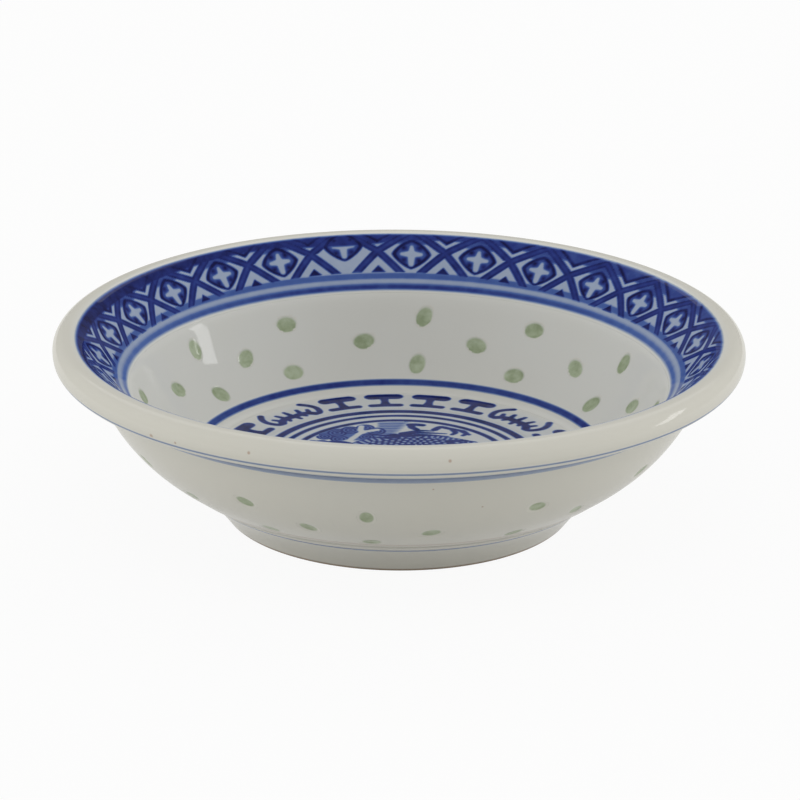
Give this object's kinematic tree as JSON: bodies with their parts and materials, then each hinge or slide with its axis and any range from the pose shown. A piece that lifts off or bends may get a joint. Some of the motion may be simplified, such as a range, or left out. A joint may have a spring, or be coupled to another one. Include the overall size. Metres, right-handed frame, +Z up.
{
  "type": "soy sauce dish",
  "caption": "Small round rice-grain porcelain sauce dish with a rolled lip, a flared patterned rim, a wall pierced with green glaze windows, a printed floor and a coved foot.",
  "frame": {"origin": "middle of the foot, on the plane that the dish stands on", "axes": "+Z up along the axis of the dish; the pictured side looks along +Y"},
  "size_m": [0.1, 0.1, 0.0272],
  "materials": {
    "porcelain": "clear gloss glaze over grey-white porcelain",
    "green_glaze": "translucent celadon glaze, glossy",
    "cobalt_print": "dark cobalt blue under clear glaze",
    "cobalt_wash": "thin cobalt blue under clear glaze"
  },
  "bodies": {
    "root": {"porcelain_body": "porcelain", "grain_windows_upper": "green_glaze", "grain_windows_middle": "green_glaze", "grain_windows_lower": "green_glaze", "border_print": "cobalt_print", "border_line": "cobalt_print", "well_line": "cobalt_print", "fret_bars": "cobalt_print", "bat_figures": "cobalt_print", "medallion_rings": "cobalt_print", "medallion_print": "cobalt_wash", "lip_line": "cobalt_wash", "under_lip_line": "cobalt_wash", "foot_line": "cobalt_wash"}
  },
  "joints": []
}
